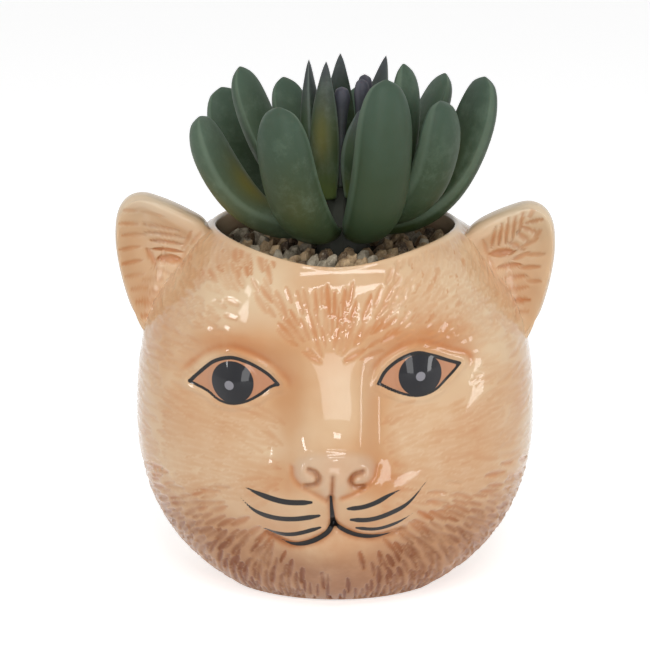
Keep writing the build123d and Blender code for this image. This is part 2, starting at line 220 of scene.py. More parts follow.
# The drawing of the face, in mm across and up as seen from the front: each eye's upper and lower lid, iris
# and pupil, and each painted line with its half width. Paint is kept as the distance inside its outline.
UNPAINTED = -5.0
INK_SPREAD = 1.08
IRIS_RADIUS = 4.75
PUPIL_RADIUS = 1.05
EYES = [
    ([(-31.9, 51.6), (-29.0, 54.5), (-25.8, 57.2), (-22.0, 58.4), (-18.2, 57.5), (-14.3, 55.4),
      (-11.7, 53.2)],
     [(-13.4, 52.4), (-16.0, 50.4), (-18.8, 48.9), (-22.2, 48.1), (-25.2, 48.6), (-27.8, 50.2)],
     (-21.9, 52.9), (-22.6, 52.4)),
    ([(10.3, 53.6), (11.9, 56.3), (15.0, 58.8), (18.6, 60.1), (22.0, 59.2), (25.2, 57.7), (28.2, 56.5)],
     [(27.0, 55.1), (25.0, 53.2), (22.8, 51.4), (19.6, 50.5), (16.2, 50.9), (13.0, 52.1)],
     (19.4, 55.1), (19.5, 55.0)),
]
INK_LINES = [
    ([(-20.0, 30.6), (-15.5, 29.5), (-10.0, 28.9), (-4.2, 29.4)], 0.6),
    ([(-21.0, 28.4), (-17.2, 25.4), (-13.0, 24.5), (-8.2, 24.8), (-2.5, 26.0)], 0.58),
    ([(-16.4, 21.5), (-12.4, 20.4), (-8.3, 20.7), (-2.3, 22.9)], 0.48),
    ([(16.2, 31.2), (12.9, 30.2), (10.1, 29.0), (7.1, 28.2), (3.8, 27.9)], 0.54),
    ([(21.6, 32.2), (17.2, 27.6), (12.8, 25.7), (8.6, 24.8), (4.5, 25.0)], 0.56),
    ([(18.4, 24.7), (14.4, 22.9), (10.1, 22.1), (5.6, 22.8)], 0.42),
    ([(-12.4, 19.2), (-8.6, 17.9), (-4.6, 18.9), (-1.0, 21.2), (0.5, 23.6)], 0.56),
    ([(14.4, 20.4), (10.8, 19.9), (7.2, 20.3), (4.0, 21.5), (0.8, 23.6)], 0.5),
]
STEM = [(0.1, 30.7), (0.3, 27.0), (0.6, 23.4)]

x_of, z_of = head[..., 0].copy(), head[..., 2].copy()
turn_of = np.arctan2(head[..., 1] - HEAD_MIDDLE_Y, head[..., 0])

# 1 on the front of the head, falling smoothly to 0 at its sides
front = np.clip(-1.5 * np.sin(turn_of), 0, 1) ** 2 * on_outside


def patches_of(table):
    """The sum of soft patches on the front: each a mound's place, its two spreads and its amount."""
    return sum(amount * bump(x_of, z_of, x, z, wide, high) for x, z, wide, high, amount in table) * front


# The rounded forms in mm: the nose and its wings, muzzle, lips, chin, and each eye's hollow, lid and brow
relief = patches_of([
    (0.6, 37.4, 6.6, 5.1, 4.8), (-6.0, 36.0, 1.9, 2.2, 0.9), (7.8, 35.8, 1.9, 2.2, 0.9),
    (-9.2, 28.0, 8.3, 7.0, 5.8), (9.2, 28.0, 8.3, 7.0, 5.8), (0.0, 14.9, 8.7, 5.1, 4.2),
    (0.0, 0.9, 23.9, 9.4, 5.5), (-20.7, 52.9, 8.7, 5.5, -2.6), (19.8, 54.4, 8.7, 5.5, -2.6),
    (-21.8, 53.2, 4.0, 3.4, 1.5), (19.2, 55.1, 4.0, 3.4, 1.5), (-18.4, 63.3, 10.1, 3.4, 1.8),
    (18.4, 64.6, 10.1, 3.4, 1.8),
])

# Finer forms: the flat-topped bridge and the nose pad
BRIDGE_RISE = 3.6
PAD_RISE = 0.5
bridge = np.where(x_of < 0.8, smooth_step(x_of + 14.2, 0, 10.2), smooth_step(11.2 - x_of, 0, 5.6))
bridge *= bump(0, z_of, 0, 50.0, 1, 9.6)
relief += BRIDGE_RISE * bridge * front
NOSE_PAD = [
    (-6.4, 39.2), (-7.6, 37.4), (-7.0, 35.0), (-4.6, 33.4), (-2.4, 32.8), (-0.4, 30.6), (1.4, 30.6),
    (3.6, 32.8), (6.0, 33.4), (8.6, 35.0), (9.2, 37.4), (8.0, 39.2), (4.4, 40.4), (-2.8, 40.4),
]
pad_inside = within(x_of, z_of, curve_through(NOSE_PAD + NOSE_PAD[:1], 60)[:-1])
nose_pad = smooth_step(pad_inside, -0.9, 1.0)
relief += PAD_RISE * nose_pad * front

# Cuts in the soft clay, each a line, its half width and its depth: nostrils, the creases under the wings, the
# groove under the nose and the line of the mouth. Stain gathers in them, and turns brown in the deep ones.
CUTS = [
    ([(-4.6, 36.9), (-3.2, 36.4), (-2.5, 35.2), (-3.1, 33.9), (-5.1, 33.3)], 0.65, 1.5),
    ([(6.8, 36.4), (5.2, 36.0), (4.4, 34.8), (5.0, 33.5), (6.9, 33.1)], 0.65, 1.5),
    ([(-8.4, 36.6), (-7.8, 34.4), (-5.6, 32.6), (-3.0, 31.2), (-0.8, 29.8)], 0.7, 0.5),
    ([(10.0, 36.6), (9.4, 34.4), (7.4, 32.8), (4.8, 31.4), (2.6, 30.6)], 0.7, 0.5),
    ([(0.5, 35.6), (0.4, 33.0), (0.2, 30.4)], 0.5, 0.8),
    (STEM, 0.8, 1.0),
    ([(-14.0, 19.6), (-8.6, 17.9), (-4.6, 18.9), (-1.0, 21.2), (0.5, 23.6)], 1.0, 0.9),
    ([(16.0, 20.8), (10.8, 19.9), (7.2, 20.3), (4.0, 21.5), (0.8, 23.6)], 1.0, 0.9),
]
stain = np.zeros(head.shape[:2])
brown = np.zeros(head.shape[:2])
for points, half_width, depth in CUTS:
    away, along = from_line(x_of, z_of, curve_through(points, 24))
    cut = ridge(away, 0, half_width) * front
    relief -= depth * cut
    stain = np.maximum(stain, 0.9 * cut)
    brown = np.maximum(brown, 0.6 * cut * (depth > 0.7))

# Painted ink: each line's half width, less the distance from it, tapers to its outer end
ink = np.full(head.shape[:2], UNPAINTED)
for points, half_width in INK_LINES:
    away, along = from_line(x_of, z_of, curve_through(points, 28))
    taper = (0.1 + 0.9 * smooth_step(along, 0.0, 0.45)) * (1 - 0.4 * smooth_step(along, 0.9, 1.0))
    ink = np.maximum(ink, INK_SPREAD * half_width * taper - away)
away, along = from_line(x_of, z_of, curve_through(STEM, 16))
ink = np.maximum(ink, 0.3 + 0.42 * along**1.5 - away)

# The eyes: the opening between the lids, the painted iris and pupil, a bulging eyeball, a raised lid, and the
# stained crease and soft shade above it
LID_RISE = 0.5
CREASE_DEPTH = 0.15
EYEBALL_RISE = 1.5
EYEBALL_RADIUS = sqrt(34)
eye_white, iris, pupil = (np.full(head.shape[:2], UNPAINTED) for paint in range(3))
lid_ridge = np.zeros(head.shape[:2])
for upper_lid, lower_lid, (iris_x, iris_z), (pupil_x, pupil_z) in EYES:
    upper_line = curve_through(upper_lid, 40)
    lower_line = curve_through([upper_lid[-1], *lower_lid, upper_lid[0]], 40)
    opening = within(x_of, z_of, np.concatenate([upper_line, lower_line[1:-1]]))
    eye_white = np.maximum(eye_white, opening)
    upper_away, along = from_line(x_of, z_of, upper_line)
    lower_away, along = from_line(x_of, z_of, lower_line)
    ink = np.maximum(ink, np.maximum(0.42 - upper_away, 0.32 - lower_away))
    from_iris = np.hypot(x_of - iris_x, z_of - iris_z)
    iris = np.maximum(iris, np.minimum(IRIS_RADIUS - from_iris, opening + 0.3))
    pupil = np.maximum(pupil, PUPIL_RADIUS - np.hypot(x_of - pupil_x, z_of - pupil_z))
    lid_ridge += ridge(-opening, 1.1, 0.6)
    above = smooth_step(z_of - iris_z, -1.0, 3.0)
    lid_crease = ridge(-opening, 2.6, 0.8) * above
    relief -= CREASE_DEPTH * lid_crease * front
    eyeball = np.clip(1 - (from_iris / EYEBALL_RADIUS) ** 2, 0, 1)
    relief += EYEBALL_RISE * eyeball * front
    shade = 0.35 * ridge(-opening, 4.2, 1.6) * above
    stain = np.maximum(stain, (0.85 * lid_crease + shade) * front)
relief += LID_RISE * lid_ridge * front


# Fur: leaf-shaped gouges that radiate from the nose and the bridge, cut with a loop tool and stained
def gouge(u, v, length, width):
    """A leaf-shaped hollow: its width follows the root of a cosine along it, its depth a parabola across."""
    half = width / 2 * np.sqrt(np.clip(np.cos(pi * np.clip(u / length, -0.5, 0.5)), 0, 1)) + 1e-6
    return np.clip(1 - (v / half) ** 2, 0, 1) * (np.abs(u) < length / 2)


arc_of = np.arctan2(np.sin(turn_of + pi / 2), np.cos(turn_of + pi / 2)) * HEAD_HALF_WIDTH * 0.93
column_arc = arc_of[first_outer + 40]
outer_rows = np.arange(first_outer, first_outer + len(outer) - 4)
row_foot, row_top = z_of[outer_rows].min(axis=1), z_of[outer_rows].max(axis=1)
dice = Random(11)
fur = np.zeros(head.shape[:2])
fur_tone = np.zeros(head.shape[:2])


def fur_stroke(u, z, direction, size, scale, tone_share):
    """One gouge in the clay, over what was cut there before, in the block of the grid that it reaches."""
    length, width, depth, tone = np.array(size) * (scale, scale, scale, tone_share)
    rows = outer_rows[(row_top > z - length / 2) & (row_foot < z + length / 2)]
    columns = np.flatnonzero(np.abs(column_arc - u) < length / 2)
    block = np.ix_(rows, columns)
    du, dz = arc_of[block] - u, z_of[block] - z
    along, beside = du * cos(direction) + dz * sin(direction), dz * cos(direction) - du * sin(direction)
    cut = gouge(along, beside, length, width)
    fur[block] = np.where(cut > 0, cut * depth, fur[block])
    fur_tone[block] = np.where(cut > 0, cut**0.7 * tone, fur_tone[block])


def fur_direction(u, z):
    """Fur lies away from the nose on the cheeks, and away from the top of the bridge on the forehead."""
    middle = 36.0 + 22.0 * smooth_step(z, 42.0, 62.0)
    return atan2(z - middle, u * 1.1 - 0.6)


def strew(count, where, size, low, high, widest):
    """Strokes at seeded places in a band of heights, kept where the region's rule gives them a weight."""
    for stroke in range(count):
        u, z = dice.uniform(-widest, widest), dice.uniform(low, high)
        if where(u, z) > dice.random():
            direction = fur_direction(u, z) + dice.uniform(-0.2, 0.2)
            fur_stroke(u, z, direction, size, dice.uniform(0.7, 1.2), dice.uniform(0.5, 1))


def comb(middle_z, nearest, farthest, pitch, where, size):
    """Strokes in rings about a point of the face, each along its radius, kept as the region's rule says."""
    length = size[0]
    for ring_radius in np.arange(nearest, farthest, 0.66 * length):
        strokes = int(2 * pi * ring_radius / pitch)
        for stroke in range(strokes):
            angle = 2 * pi * (stroke + dice.uniform(-0.35, 0.35)) / strokes
            reach = ring_radius + length * dice.uniform(-0.25, 0.25)
            u, z = 1.1 * reach * cos(angle), middle_z + reach * sin(angle)
            if where(u, z) > dice.random():
                scale, direction = dice.uniform(0.7, 1.2), angle + dice.uniform(-0.12, 0.12)
                fur_stroke(u, z, direction, size, scale, dice.uniform(0.45, 1))


def ruff_weight(u, z):
    """The ruff lies below and outside the muzzle, and thins out under the chin."""
    away = sqrt((u / 1.25) ** 2 + (z - 33.0) ** 2)
    fade = smooth_step(-z, -32.0, -24.0) * smooth_step(-abs(u), -82, -52)
    return smooth_step(away, 18.5, 23.0) * fade * (0.45 + 0.55 * smooth_step(abs(u), 6, 18))


def side_weight(u, z):
    """The sides and the back carry a lighter fur."""
    return smooth_step(abs(u), 32, 42) * smooth_step(z, 4, 10)


def brow_weight(u, z):
    """Fur on the forehead out to the ears; the brow over each eye and a band under the rim stay bare."""
    lowest = 58.5 + (0.8 if u < 0 else 0.45) * max(min(abs(u), 24) - 8, 0)
    glossy = smooth_step(z, 71.5, 74.5) * smooth_step(-abs(u - 3), -26, -18)
    return smooth_step(z - lowest, 0, 2.5) * smooth_step(-abs(u), -44, -36) * (1 - glossy)


def temple_weight(u, z):
    """Short crowded strokes before the ears, most of them on the cat's left."""
    near = smooth_step(u, 16, 24) if u > 0 else 0.6 * smooth_step(-u, 25, 33)
    return near * smooth_step(z, 59, 65) * smooth_step(-abs(u), -62, -48)


def cheek_weight(u, z):
    """Soft strokes on the cheeks, beyond the bridge and the muzzle."""
    return smooth_step(abs(u), 13, 20) * smooth_step(z, 24, 32) * smooth_step(-z, -50, -44)


# A size is a stroke's length, width, depth and stain. A band has two heights and half its width, and a comb
# the height of its middle, its nearest and farthest ring and the pitch of its strokes.
strew(4200, side_weight, (5.8, 1.6, 0.14, 0.38), 4, 82, 132)
strew(1500, cheek_weight, (7.4, 1.8, 0.01, 0.5), 24, 50, 40)
comb(57.5, 6.0, 48, 1.75, brow_weight, (6.2, 1.9, 0.17, 1.0))
strew(1300, temple_weight, (4.4, 1.4, 0.24, 0.5), 58, 84, 60)
comb(36.0, 17.0, 78, 1.7, ruff_weight, (6.0, 1.7, 0.42, 1.0))
stain = np.maximum(stain, fur_tone)

# Raise the relief on the head: forward over the face, and square to the surface where the fur is cut. Before
# each ear the clay is pressed in, and the cheeks swell a little to the sides.
EAR_HOLLOW = 2.0
CHEEK_SWELL = 0.9
normals = grid_normals(head)
forward = np.array([0.0, -1.0, 0.0])
head = head + relief[..., None] * forward - fur[..., None] * normals
before_ear = bump(np.abs(x_of), z_of, 38.5, 75.0, 5.0, 6.5) * smooth_step(-head[..., 1], -6, 3) * on_outside
head = head - EAR_HOLLOW * before_ear[..., None] * normals
cheek = smooth_step(np.abs(x_of), 30, 45) * bump(0, z_of, 0, 38.0, 1, 13.0) * on_outside
head[..., 0] += CHEEK_SWELL * np.sign(x_of) * cheek


# Ears: the outline and the cup as seen from the front, in shares of the ear's size, and the rings of the
# surface: how far each lies from the cup's middle to its edge, from there to the outline, or from the root to
# the outline, and how far back in mm
EAR_SIZE = 16.0
EAR_X = 39.0
EAR_Z = 74.0
EAR_LIFT = 0.8
EAR_FRONT_Y = -5.0
EAR_DEPTH = 14.0
EAR_CUP_DEPTH = 5.0
EAR_OUTLINE = [
    (0.38, -1.12), (0.5, -0.8), (0.61, -0.45), (0.69, -0.1), (0.73, 0.25), (0.71, 0.58), (0.63, 0.79),
    (0.5, 0.91), (0.32, 0.95), (0.1, 0.89), (-0.15, 0.79), (-0.41, 0.66), (-0.67, 0.55), (-0.83, 0.3),
    (-0.82, -0.3), (-0.62, -0.8), (-0.3, -1.24), (0.0, -1.5), (0.24, -1.42),
]
EAR_CUP = [
    (0.32, -0.92), (0.49, -0.42), (0.585, -0.05), (0.625, 0.28), (0.595, 0.57), (0.49, 0.73), (0.31, 0.77),
    (0.06, 0.65), (-0.2, 0.5), (-0.42, 0.34), (-0.46, 0.1), (-0.34, -0.3), (-0.04, -0.84),
]
EAR_ROOT = (-0.5, -0.35)
CUP_MIDDLE = (0.05, 0.1)
EAR_SLICES = [
    ("cup", 0.02, EAR_CUP_DEPTH - 0.1), ("cup", 0.24, EAR_CUP_DEPTH - 0.3), ("cup", 0.5, EAR_CUP_DEPTH - 1.2),
    ("cup", 0.76, 2.3), ("cup", 0.94, 0.7), ("rim", 0.15, -0.05), ("rim", 0.55, -0.4),
    ("back", 0.955, 0.2), ("back", 0.99, 1.6), ("back", 1.0, 4.2), ("back", 0.94, 7.2), ("back", 0.76, 10.4),
    ("back", 0.47, 12.9), ("back", 0.2, EAR_DEPTH - 0.1), ("back", 0.02, EAR_DEPTH),
]
EAR_ROWS = 66
CUP_ROWS = 26
RIM_ROW = 34
ear_angles = np.linspace(-pi, pi, 150, endpoint=False)


def polar_outline(points):
    """A closed smooth outline as one point for each direction from the cup's middle."""
    loop = curve_through(points + points[:2], 400)
    away = loop - np.array(CUP_MIDDLE)
    angle = np.arctan2(away[:, 1], away[:, 0])
    order = np.argsort(angle)
    reach = np.hypot(away[:, 0], away[:, 1])[order]
    angle = angle[order]
    reach = np.interp(ear_angles, angle, reach, period=2 * pi)
    kernel = np.array([1, 2, 3, 2, 1]) / 9
    reach = np.convolve(np.concatenate([reach[-2:], reach, reach[:2]]), kernel, "valid")
    x, z = CUP_MIDDLE[0] + reach * np.cos(ear_angles), CUP_MIDDLE[1] + reach * np.sin(ear_angles)
    return np.stack([x, z], axis=-1)


def ear_surface(side):
    """The ear as rings: up the cup's wall, over the rim and back over the outside to its root."""
    outline, cup = polar_outline(EAR_OUTLINE), polar_outline(EAR_CUP)
    spans = {"cup": (CUP_MIDDLE, cup), "rim": (cup, outline), "back": (EAR_ROOT, outline)}
    rings = []
    for span, share, depth in EAR_SLICES:
        near, far = (np.array(flat) for flat in spans[span])
        rings.append(np.column_stack([near + (far - near) * share, np.full(len(outline), depth / EAR_SIZE)]))
    rings = curve_through(np.reshape(rings, (len(rings), -1)), EAR_ROWS).reshape(EAR_ROWS, -1, 3)
    x = side * (EAR_X + rings[..., 0] * EAR_SIZE)
    z = EAR_Z - side * EAR_LIFT + rings[..., 1] * EAR_SIZE
    points = np.stack([x, EAR_FRONT_Y + rings[..., 2] * EAR_SIZE, z], axis=-1)
    return points if side > 0 else points[:, ::-1]


# Fur in the ears: across, up, slope in degrees, length, width, depth and stain of each stroke. The widest one
# in each ear is the pocket of its cup.
EAR_FUR = {
    -1: [
        (-46.8, 86.3, -8, 3.7, 1.2, 0.25, 0.35), (-41.7, 85.4, -10, 6.0, 1.2, 0.15, 0.25),
        (-47.3, 83.0, -12, 4.6, 1.2, 0.35, 0.6), (-46.4, 80.2, -6, 5.1, 1.2, 0.35, 0.55),
        (-47.4, 77.2, 0, 4.6, 1.2, 0.35, 0.55), (-47.0, 73.9, 2, 4.6, 1.2, 0.35, 0.7),
        (-46.4, 70.8, 0, 4.1, 1.2, 0.35, 0.5), (-45.3, 67.7, -3, 4.1, 1.2, 0.35, 0.6),
        (-44.7, 64.7, -4, 3.5, 1.2, 0.35, 0.65), (-43.6, 61.3, -6, 3.2, 1.2, 0.35, 0.8),
        (-40.0, 81.9, -8, 9.2, 1.0, 0.55, 0.65), (-39.3, 80.0, -7, 9.7, 1.0, 0.6, 0.7),
        (-39.1, 78.1, -6, 8.3, 1.0, 0.65, 0.8), (-38.9, 76.2, -4, 7.4, 1.0, 0.7, 0.95),
        (-38.5, 74.1, 0, 6.0, 2.5, 0.9, 1.0), (-42.6, 74.6, -62, 5.1, 1.6, 0.5, 0.8),
        (-40.2, 71.3, -18, 6.0, 0.9, 0.4, 0.6), (-42.1, 69.4, -4, 5.5, 1.2, 0.35, 0.5),
        (-41.2, 66.8, 10, 4.6, 1.2, 0.3, 0.5), (-42.6, 64.2, 20, 4.1, 1.2, 0.3, 0.55),
        (-34.1, 79.0, 62, 6.0, 1.2, 0.3, 0.5), (-35.3, 74.6, 64, 6.4, 1.2, 0.3, 0.45),
        (-37.4, 70.1, 60, 6.4, 1.2, 0.3, 0.5), (-39.6, 65.6, 58, 5.5, 1.2, 0.3, 0.45),
        (-31.8, 79.8, 50, 4.6, 1.2, 0.25, 0.4),
    ],
    1: [
        (36.4, 80.2, 84, 6.0, 1.0, 0.5, 0.75), (38.0, 80.9, 86, 6.9, 1.0, 0.55, 0.8),
        (39.5, 81.6, 88, 7.4, 1.0, 0.55, 0.8), (41.1, 82.6, 88, 7.4, 1.0, 0.55, 0.75),
        (42.7, 84.2, 86, 6.4, 1.0, 0.5, 0.7), (44.9, 86.5, 70, 3.7, 1.2, 0.35, 0.6),
        (45.7, 84.2, 20, 4.1, 1.2, 0.45, 0.7), (44.6, 81.9, -20, 4.6, 1.2, 0.5, 0.75),
        (43.5, 79.8, -35, 4.6, 1.2, 0.55, 0.8), (44.9, 78.6, 35, 4.6, 1.2, 0.45, 0.7),
        (46.4, 80.7, 60, 3.7, 1.2, 0.35, 0.6), (41.9, 77.6, -25, 4.6, 1.2, 0.55, 0.85),
        (38.7, 76.0, 5, 6.0, 2.3, 0.8, 0.95), (43.1, 75.3, 30, 4.6, 1.2, 0.4, 0.7),
        (46.1, 76.0, 14, 4.6, 1.2, 0.35, 0.6), (40.4, 72.9, 8, 6.0, 1.4, 0.45, 0.85),
        (45.0, 72.9, 12, 5.1, 1.2, 0.35, 0.6), (41.6, 70.3, 12, 6.0, 1.2, 0.4, 0.7),
        (46.0, 69.9, 12, 3.7, 1.2, 0.3, 0.5), (42.1, 67.7, 14, 6.0, 1.2, 0.35, 0.65),
        (42.9, 65.1, 10, 5.1, 1.6, 0.45, 0.9), (43.2, 62.5, 16, 4.1, 1.2, 0.3, 0.6),
        (34.8, 77.4, -70, 5.5, 1.2, 0.3, 0.5), (36.3, 73.2, -68, 6.0, 1.2, 0.3, 0.5),
        (38.4, 68.4, -62, 5.5, 1.2, 0.3, 0.5), (40.8, 64.2, -60, 4.1, 1.2, 0.3, 0.5),
    ],
}


def gap_to(points, others):
    """The distance of each point from the nearest of the others."""
    parts = np.array_split(points, len(points) // 1500 + 1)
    gaps = [np.linalg.norm(part[:, None] - others[None], axis=-1).min(axis=1) for part in parts]
    return np.concatenate(gaps)


def softened(values, passes):
    """A grid of values, each averaged with its neighbours along its row and its column, a number of times."""
    for step in range(passes):
        values = (np.roll(values, 1, axis=1) + 2 * values + np.roll(values, -1, axis=1)) / 4
        values[1:-1] = (values[:-2] + 2 * values[1:-1] + values[2:]) / 4
    return values


# Where an ear leaves the head the clay is smoothed into a fillet
EAR_BLEND = 5.0
EAR_FILLET = 0.55


def fillet_at(away):
    """The rise of the fillet at a distance from the joint: it grows as the square of the nearness."""
    return EAR_FILLET * EAR_BLEND * np.clip(1 - away / EAR_BLEND, 0, 1) ** 2


ears = {side: ear_surface(side) for side in (-1, 1)}
head_normals = grid_normals(head)
head_fillet = np.zeros(head.shape[:2])
ear_fillets = {}
for side, ear in ears.items():
    reach_low, reach_high = ear.min(axis=(0, 1)) - 7, ear.max(axis=(0, 1)) + 7
    near = ((head > reach_low) & (head < reach_high)).all(axis=-1) & (on_outside > 0)
    ear_y = ear[..., 1] - HEAD_MIDDLE_Y
    plain = head_point(np.arctan2(ear_y, ear[..., 0]), ear[..., 2])
    bare = np.hypot(ear[..., 0], ear_y) > np.hypot(plain[..., 0], plain[..., 1] - HEAD_MIDDLE_Y)
    bare[:CUP_ROWS] = False
    head_fillet[near] = fillet_at(gap_to(head[near], ear[bare]))
    fillet = fillet_at(gap_to(ear.reshape(-1, 3), head[near]).reshape(ear.shape[:2]))
    fillet *= smooth_step(np.arange(len(ear)), RIM_ROW - 10, RIM_ROW)[:, None]
    ear_fillets[side] = softened(fillet, 3)[..., None] * grid_normals(ear)
head_fillet *= smooth_step(rim[None, :] - z_of, 0.5, 7.0) * smooth_step(z_of, 55, 68)
head = head + softened(head_fillet, 5)[..., None] * head_normals
ear_stain = {}
for side, strokes in EAR_FUR.items():
    ear = ears[side] + ear_fillets[side]
    before_rim = 1 - smooth_step(np.arange(len(ear)), RIM_ROW - 6, RIM_ROW)[:, None]
    ear_cut, ear_stain[side] = np.zeros(ear.shape[:2]), np.zeros(ear.shape[:2])
    for x, z, degrees, length, width, depth, tone in strokes:
        dx, dz, slope = ear[..., 0] - x, ear[..., 2] - z, radians(degrees)
        along, beside = dx * cos(slope) + dz * sin(slope), dz * cos(slope) - dx * sin(slope)
        cut = gouge(along, beside, length, width) * before_rim
        ear_cut = np.maximum(ear_cut, cut * depth)
        ear_stain[side] = np.maximum(ear_stain[side], np.sqrt(cut) * tone)
    ears[side] = ear - ear_cut[..., None] * forward


def placed(name, data):
    """An object of the scene."""
    thing = bpy.data.objects.new(name, data)
    bpy.context.scene.collection.objects.link(thing)
    return thing


def surface(name, sheets, attributes):
    """One mesh from closed grids of points in mm: quads between rows, and a fan to a pole at each end."""
    vertices, faces, base = [], [], 0
    for points in sheets:
        rows, columns = points.shape[:2]
        corner = base + np.arange(rows * columns).reshape(rows, columns)
        beside = np.roll(corner, -1, axis=1)
        quads = np.stack([corner[:-1], beside[:-1], beside[1:], corner[1:]], axis=-1).reshape(-1, 4)
        first, last = base + rows * columns, base + rows * columns + 1
        caps = [(first, b, a) for a, b in zip(corner[0], beside[0])]
        caps += [(last, a, b) for a, b in zip(corner[-1], beside[-1])]
        vertices += [points.reshape(-1, 3), points[0].mean(axis=0)[None], points[-1].mean(axis=0)[None]]
        faces += quads.tolist() + caps
        base = last + 1
    mesh = bpy.data.meshes.new(name)
    mesh.from_pydata((np.concatenate(vertices) / 1000).tolist(), [], faces)
    for attribute, values in attributes.items():
        layer = mesh.attributes.new(attribute, "FLOAT", "POINT")
        layer.data.foreach_set("value", np.concatenate(values).astype(np.float32))
    mesh.polygons.foreach_set("use_smooth", np.ones(len(mesh.polygons), bool))
    return placed(name, mesh)


def with_poles(grid, ear_values):
    """A head grid's values with its two poles, then each ear's values with theirs."""
    values = [grid.ravel(), [grid[0].mean(), grid[-1].mean()]]
    for ear in ear_values:
        values += [ear.ravel(), [ear[0].mean(), ear[-1].mean()]]
    return values


# Where the stain and the wash are thicker, or wiped off: across, up, spreads across and up, and the amount
PLAIN_WASH = 0.36
STAIN_PATCHES = [
    (0.0, 9.0, 22.0, 7.0, 0.65), (0.5, 22.0, 14.0, 4.0, 0.4), (-10.0, 33.0, 2.6, 4.2, 0.3),
    (11.6, 33.0, 2.6, 4.2, 0.3), (0.5, 37.0, 7.5, 4.0, 0.25), (19.0, 66.0, 9.0, 3.0, 0.35),
    (-21.0, 64.0, 9.0, 3.0, 0.15),
]
WASH_PATCHES = [
    (-21.5, 61.5, 9.0, 2.6, 0.55), (20.0, 63.0, 9.0, 2.6, 0.6), (-9.5, 47.0, 2.4, 9.0, 0.35),
    (10.5, 46.0, 2.4, 9.0, 0.35), (-10.0, 34.0, 4.5, 3.0, 0.35), (11.5, 34.0, 4.5, 3.0, 0.35),
    (-31.0, 42.0, 7.0, 8.0, 0.25), (33.0, 40.0, 8.0, 8.0, 0.35), (0.6, 66.0, 9.0, 6.0, 0.2),
    (-24.0, 71.0, 9.0, 5.0, -0.3), (-13.0, 38.0, 6.0, 4.0, -0.22), (0.0, 72.0, 18.0, 6.0, 0.18),
    (26.0, 72.0, 9.0, 6.0, -0.25),
]

# What the clay and the brush leave: stain in the gouges, a wash from cream (0) to orange (1), the brown ruff
# around the face, and pale places on the nose, the sides and the ears
stain += patches_of(STAIN_PATCHES)
wash = np.clip(PLAIN_WASH + patches_of(WASH_PATCHES), 0, 1)
ear_wash = [0.4 - 0.36 * smooth_step(ears[side][..., 2], 80, 90) for side in (-1, 1)]
ear_pale = [0.3 + 0.5 * smooth_step(ears[side][..., 2], 82, 91) for side in (-1, 1)]
ruff = smooth_step(np.sqrt((x_of / 1.35) ** 2 + (z_of - 36.0) ** 2), 16, 26) * smooth_step(-z_of, -30, -14)
ruff = np.maximum(ruff, brown)
pale = np.maximum(smooth_step(np.abs(arc_of), 52, 66), 0.75 * nose_pad * front)
no_ruff = [np.zeros(ears[side].shape[:2]) for side in (-1, 1)]
no_paint = [np.full(ears[side].shape[:2], UNPAINTED) for side in (-1, 1)]
layers = {
    "stain": with_poles(stain * on_outside, [ear_stain[-1], ear_stain[1]]),
    "wash": with_poles(wash, ear_wash),
    "ruff": with_poles(ruff, no_ruff),
    "pale": with_poles(pale, ear_pale),
}
for name, paint in {"ink": ink, "eye_white": eye_white, "iris": iris, "pupil": pupil}.items():
    layers[name] = with_poles(np.where(front > 0.02, paint, UNPAINTED), no_paint)
pot = surface("pot", [head, ears[-1], ears[1]], layers)


def new_material(name):
    """A material, its node tree and its Principled shader."""
    material = bpy.data.materials.new(name)
    material.use_nodes = True
    tree = material.node_tree
    return material, tree, tree.nodes["Principled BSDF"]


def feed(tree, made, inputs):
    """Give a node its inputs, each a value or another node's socket."""
    for socket, source in inputs.items():
        if isinstance(source, bpy.types.NodeSocket):
            tree.links.new(source, made.inputs[socket])
        else:
            made.inputs[socket].default_value = source


def node(tree, kind, inputs, **settings):
    """A new node with its settings and its inputs."""
    made = tree.nodes.new(kind)
    for setting, value in settings.items():
        setattr(made, setting, value)
    feed(tree, made, inputs)
    return made


def linear(red, green, blue):
    """A colour as seen on the screen, 0 to 255, as the light that it stands for."""
    shares = [c / 255 for c in (red, green, blue)]
    return (*[s / 12.92 if s <= 0.04045 else ((s + 0.055) / 1.055) ** 2.4 for s in shares], 1.0)


def mixed(tree, share, first, second):
    """A colour between two, by a share."""
    return node(tree, "ShaderNodeMix", {0: share, 6: first, 7: second}, data_type="RGBA").outputs[2]


def masked(tree, value, low, high):
    """0 where a value is below low, 1 where it is above high, smooth between."""
    sockets = {"Value": value, "From Min": low, "From Max": high}
    return node(tree, "ShaderNodeMapRange", sockets, interpolation_type="SMOOTHSTEP").outputs["Result"]


def painted(tree, name):
    """The value that the mesh carries under a name."""
    return node(tree, "ShaderNodeAttribute", {}, attribute_name=name).outputs["Fac"]


def cloud(tree, scale, detail=2.0, rough=0.5):
    """Soft random patches of about one over the scale in metres, from 0 to 1."""
    place = node(tree, "ShaderNodeTexCoord", {}).outputs["Object"]
    sockets = {"Vector": place, "Scale": scale, "Detail": detail, "Roughness": rough}
    return node(tree, "ShaderNodeTexNoise", sockets).outputs["Fac"]


def joined(tree, first, second, operation="ADD"):
    """Two values put together."""
    return node(tree, "ShaderNodeMath", {0: first, 1: second}, operation=operation).outputs[0]


def scaled(tree, value, share):
    """A value times a share."""
    return joined(tree, value, share, "MULTIPLY")


def bumped(tree, height, strength, distance):
    """The normal of a surface with a fine relief, so many metres high."""
    sockets = {"Height": height, "Strength": strength, "Distance": distance}
    return node(tree, "ShaderNodeBump", sockets).outputs["Normal"]


